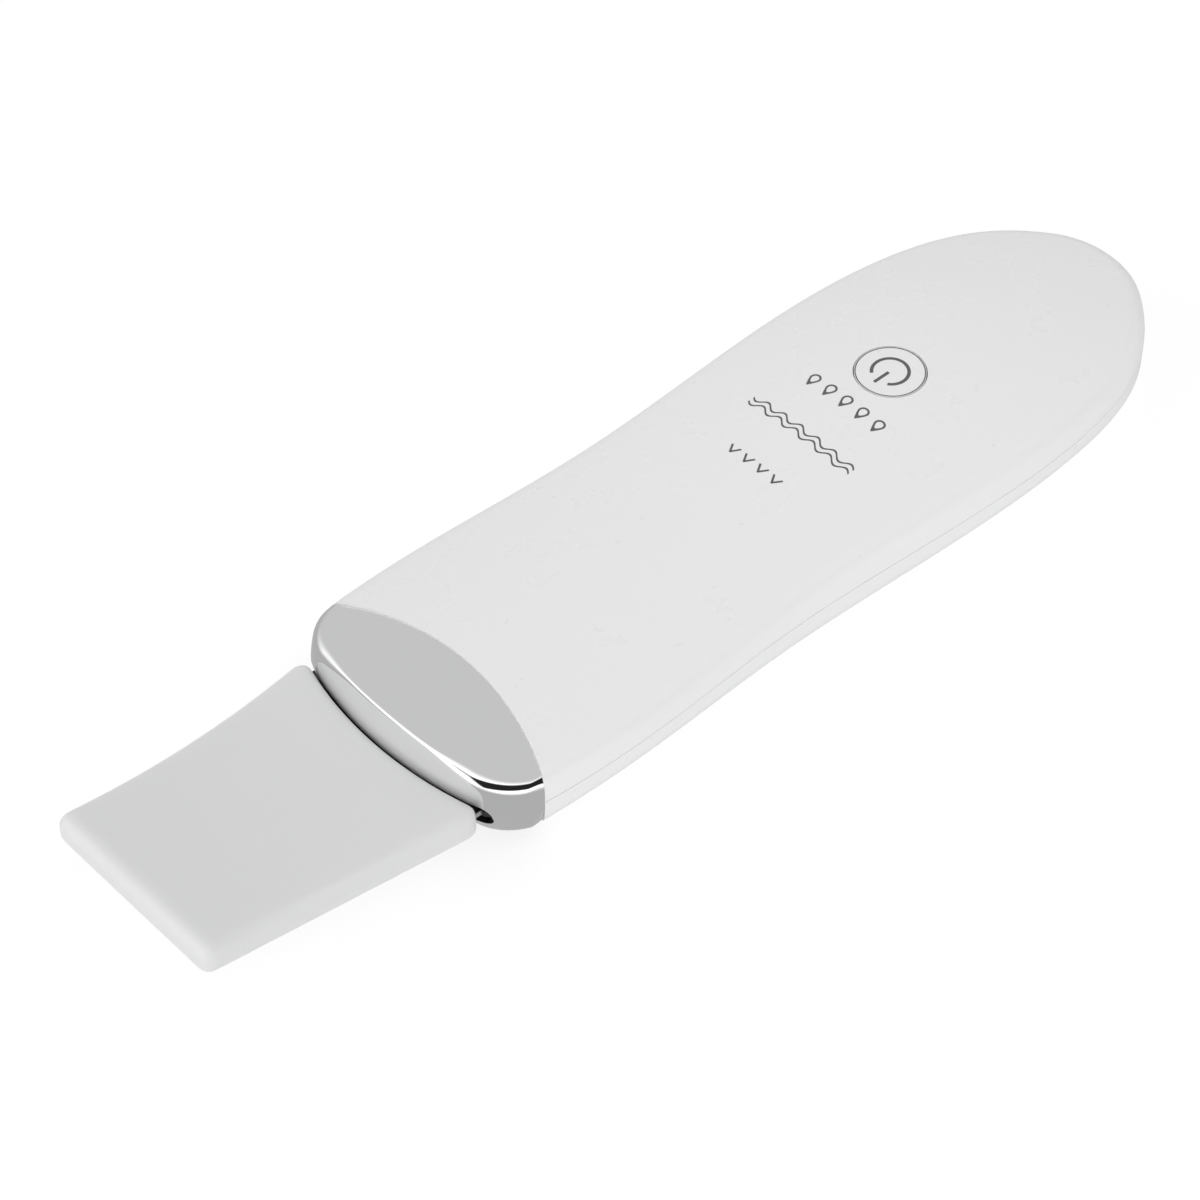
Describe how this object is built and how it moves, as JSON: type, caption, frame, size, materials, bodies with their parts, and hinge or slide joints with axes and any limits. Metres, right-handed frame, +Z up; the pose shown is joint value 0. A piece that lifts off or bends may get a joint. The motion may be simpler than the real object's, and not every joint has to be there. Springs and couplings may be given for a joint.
{
  "type": "ultrasonic skin scrubber",
  "caption": "Slim handheld ultrasonic skin scrubber with a bent steel blade, a pull-off silicone blade cap and a round power button.",
  "frame": {"origin": "on the surface it lies on, under the middle of its overall length", "axes": "+X along the handle from the blade to the tail, +Z up through the front cover with the button"},
  "size_m": [0.1718, 0.0432, 0.0156],
  "materials": {
    "shell_white": "smooth glossy moulded shell",
    "plated_head": "bright plated moulding",
    "seal_rubber": "matt moulded rubber",
    "blade_steel": "fine brushed stainless steel",
    "cap_silicone": "translucent milky silicone",
    "button_white": "smooth glossy moulded key",
    "black_plastic": "matt black moulding",
    "board_laminate": "green solder resist",
    "light_lens": "clear cast lens",
    "ferrite": "sintered dark ferrite",
    "copper_wire": "enamelled copper winding",
    "battery_wrap": "silver-grey pouch",
    "foam_pad": "closed-cell foam",
    "bright_steel": "nickel-plated steel",
    "horn_aluminium": "turned aluminium",
    "piezo_ceramic": "pressed ceramic with fired silver faces",
    "shim_brass": "thin rolled brass",
    "dark_steel": "turned steel",
    "contact_metal": "polished contact plate",
    "lead_insulation": "soft insulated lead"
  },
  "bodies": {
    "handle": {"front_cover": "shell_white", "rear_cover": "shell_white", "head_shell": "plated_head", "slot_gasket": "seal_rubber", "blade": "blade_steel", "switch_body": "black_plastic", "main_board": "board_laminate", "mode_lights": "light_lens", "driver_chips": "black_plastic", "coil_core": "ferrite", "coil_winding": "copper_wire", "battery_cell": "battery_wrap", "battery_foam": "foam_pad", "charging_socket": "bright_steel", "socket_tongue": "black_plastic", "horn": "horn_aluminium", "piezo_rings": "piezo_ceramic", "electrode_shims": "shim_brass", "back_mass": "dark_steel", "clamp_bolt": "bright_steel", "damper_rings": "seal_rubber", "transducer_strap": "bright_steel", "strap_screws": "bright_steel", "board_screws": "bright_steel", "cover_screws": "bright_steel", "contact_plate": "contact_metal", "contact_pin": "shim_brass", "battery_leads": "lead_insulation", "transducer_leads": "lead_insulation"},
    "cap": {"blade_cap": "cap_silicone"},
    "button": {"power_button": "button_white"},
    "plunger": {"switch_plunger": "black_plastic"}
  },
  "joints": [
    {"name": "cap_pull", "type": "hinge", "parent": "handle", "child": "cap", "pos_m": [-0.0472, 0, 0.2118], "axis": [0, 1, 0], "range_deg": [0, 12.6]},
    {"name": "button_press", "type": "slide", "parent": "handle", "child": "button", "axis": [0, 0, -1], "range_m": [0, 0.0004], "stiffness_N_per_m": 1600, "springref_m": -0.0006},
    {"name": "plunger_press", "type": "slide", "parent": "handle", "child": "plunger", "axis": [0, 0, -1], "range_m": [0, 0.0004]}
  ],
  "couplings": [
    {"joint": "plunger_press", "follows": "button_press", "ratio": 1}
  ]
}
